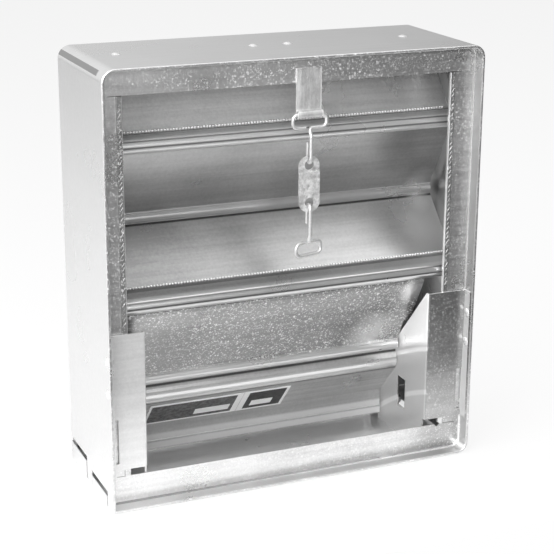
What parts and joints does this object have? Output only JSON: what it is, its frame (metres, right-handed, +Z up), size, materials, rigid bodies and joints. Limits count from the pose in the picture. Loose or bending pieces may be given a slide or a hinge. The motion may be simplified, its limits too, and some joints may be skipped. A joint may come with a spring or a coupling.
{
  "type": "fire damper",
  "caption": "Curtain fire damper: folded galvanised frame, interlocking blades dropped shut, side lock guides, and a fusible link on wire hooks under the head.",
  "frame": {"origin": "middle of the frame's underside", "axes": "+Z up the height of the frame, +Y through the duct from the link side to the rear, +X to the right seen from the link side"},
  "size_m": [0.3076, 0.114, 0.3393],
  "materials": {
    "galvanised_sheet": "spangled zinc coating",
    "blade_sheet": "spangled zinc coating",
    "rivet_steel": "plated",
    "hook_wire": "plated wire",
    "link_plate": "tinned and dull",
    "solder": "dull",
    "label_stock": "printed film"
  },
  "bodies": {
    "frame": {"frame": "galvanised_sheet", "head_rail": "galvanised_sheet", "head_rail_rivets": "rivet_steel", "left_lock_guide": "galvanised_sheet", "right_lock_guide": "galvanised_sheet", "left_guide_rivets": "rivet_steel", "right_guide_rivets": "rivet_steel", "link_strap": "galvanised_sheet", "retaining_strap": "galvanised_sheet"},
    "blade_1": {"blade_1": "blade_sheet"},
    "blade_2": {"blade_2": "blade_sheet"},
    "blade_3": {"blade_3": "blade_sheet"},
    "blade_4": {"blade_4": "blade_sheet"},
    "bottom_blade": {"bottom_blade": "blade_sheet", "large_label": "label_stock", "small_label": "label_stock"},
    "upper_hook": {"upper_hook": "hook_wire"},
    "link": {"link_front_plate": "link_plate", "link_back_plate": "link_plate", "link_solder": "solder"},
    "lower_hook": {"lower_hook": "hook_wire"}
  },
  "joints": [
    {"name": "blade_1_hinge", "type": "hinge", "parent": "frame", "child": "blade_1", "pos_m": [0, 0.02896, 0.3301], "axis": [1, 0, 0], "range_deg": [-22, 0]},
    {"name": "blade_2_hinge", "type": "hinge", "parent": "blade_1", "child": "blade_2", "pos_m": [0, -0.01847, 0.27346], "axis": [1, 0, 0], "range_deg": [0, 74.3]},
    {"name": "blade_3_hinge", "type": "hinge", "parent": "blade_2", "child": "blade_3", "pos_m": [0, 0.01699, 0.20875], "axis": [1, 0, 0], "range_deg": [-89.5, 0]},
    {"name": "blade_4_hinge", "type": "hinge", "parent": "blade_3", "child": "blade_4", "pos_m": [0, -0.03454, 0.15513], "axis": [1, 0, 0], "range_deg": [0, 68.2]},
    {"name": "bottom_blade_hinge", "type": "hinge", "parent": "blade_4", "child": "bottom_blade", "pos_m": [0, 0.00296, 0.08169], "axis": [1, 0, 0], "range_deg": [-120, 0]},
    {"name": "upper_hook_swing", "type": "hinge", "parent": "frame", "child": "upper_hook", "pos_m": [0.01, -0.0477, 0.2935], "axis": [1, 0, 0], "range_deg": [-75, 0]},
    {"name": "link_sway", "type": "hinge", "parent": "upper_hook", "child": "link", "pos_m": [0.01, -0.0477, 0.2564], "axis": [0, 1, 0], "range_deg": [-35, 35]},
    {"name": "lower_hook_sway", "type": "hinge", "parent": "link", "child": "lower_hook", "pos_m": [0.01, -0.0477, 0.2234], "axis": [0, 1, 0], "range_deg": [-35, 35]}
  ],
  "couplings": [
    {"joint": "blade_1_hinge", "follows": "bottom_blade_hinge", "ratio": 0.18333},
    {"joint": "blade_2_hinge", "follows": "bottom_blade_hinge", "ratio": -0.61917},
    {"joint": "blade_3_hinge", "follows": "bottom_blade_hinge", "ratio": 0.74583},
    {"joint": "blade_4_hinge", "follows": "bottom_blade_hinge", "ratio": -0.56833}
  ]
}
